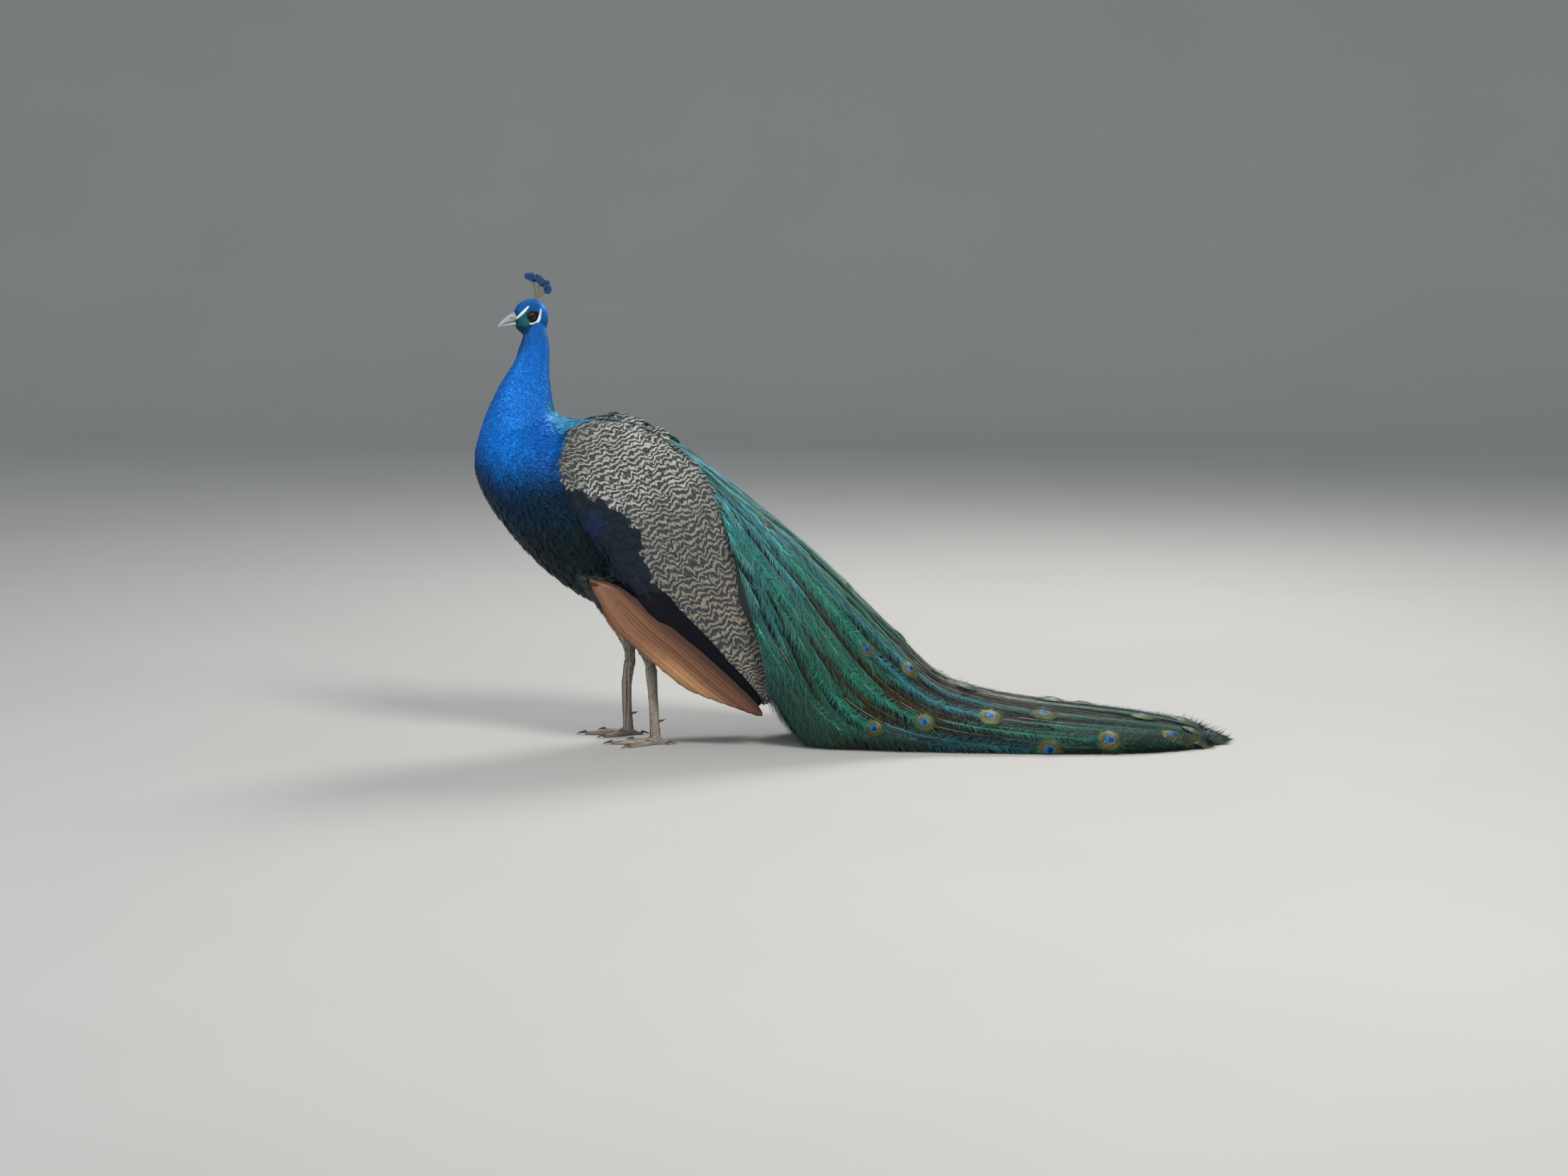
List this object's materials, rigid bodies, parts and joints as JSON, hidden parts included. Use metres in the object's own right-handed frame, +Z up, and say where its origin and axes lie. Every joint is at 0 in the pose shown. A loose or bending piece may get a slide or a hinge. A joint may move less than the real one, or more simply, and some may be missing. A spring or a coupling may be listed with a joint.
{
  "type": "peacock",
  "caption": "Life-size peacock standing with its head turned a little to one side and its folded train laid along the floor.",
  "frame": {"origin": "centre of the bottom of the bounding box, on the floor", "axes": "+Z up, -X the way the bird faces, +X towards the tip of its train, -Y towards its left side"},
  "size_m": [1.4842, 0.345, 0.9154],
  "materials": {
    "body_feathers": "soft, dark blue-green with a metallic sheen",
    "blue_feathers": "soft, cobalt blue with a metallic sheen",
    "bill": "smooth horn",
    "crest_feathers": "bare shafts with blue-green webbed tips",
    "eye": "wet, dark brown",
    "barred_feathers": "soft, buff barred with black",
    "rufous_feathers": "smooth vanes",
    "thigh_feathers": "soft, buff",
    "leg_skin": "scaly",
    "claw": "smooth horn",
    "tail_feathers": "plain brown vanes",
    "train_feathers": "loose bronze-green barbs with eye spots"
  },
  "bodies": {
    "root": {"trunk": "body_feathers", "neck": "blue_feathers", "head": "blue_feathers", "bill_upper": "bill", "bill_lower": "bill", "crest": "crest_feathers", "eye_left": "eye", "eye_right": "eye", "wing_left": "barred_feathers", "wing_right": "barred_feathers", "primaries_left": "rufous_feathers", "primaries_right": "rufous_feathers", "thigh_left": "thigh_feathers", "thigh_right": "thigh_feathers", "shank_left": "leg_skin", "shank_right": "leg_skin", "spur_left": "claw", "spur_right": "claw", "foot_left": "leg_skin", "foot_right": "leg_skin", "claw_middle_left": "claw", "claw_inner_left": "claw", "claw_outer_left": "claw", "claw_hind_left": "claw", "claw_middle_right": "claw", "claw_inner_right": "claw", "claw_outer_right": "claw", "claw_hind_right": "claw", "tail": "tail_feathers", "train_root": "train_feathers", "train_middle": "train_feathers", "train_end": "train_feathers"}
  },
  "joints": []
}
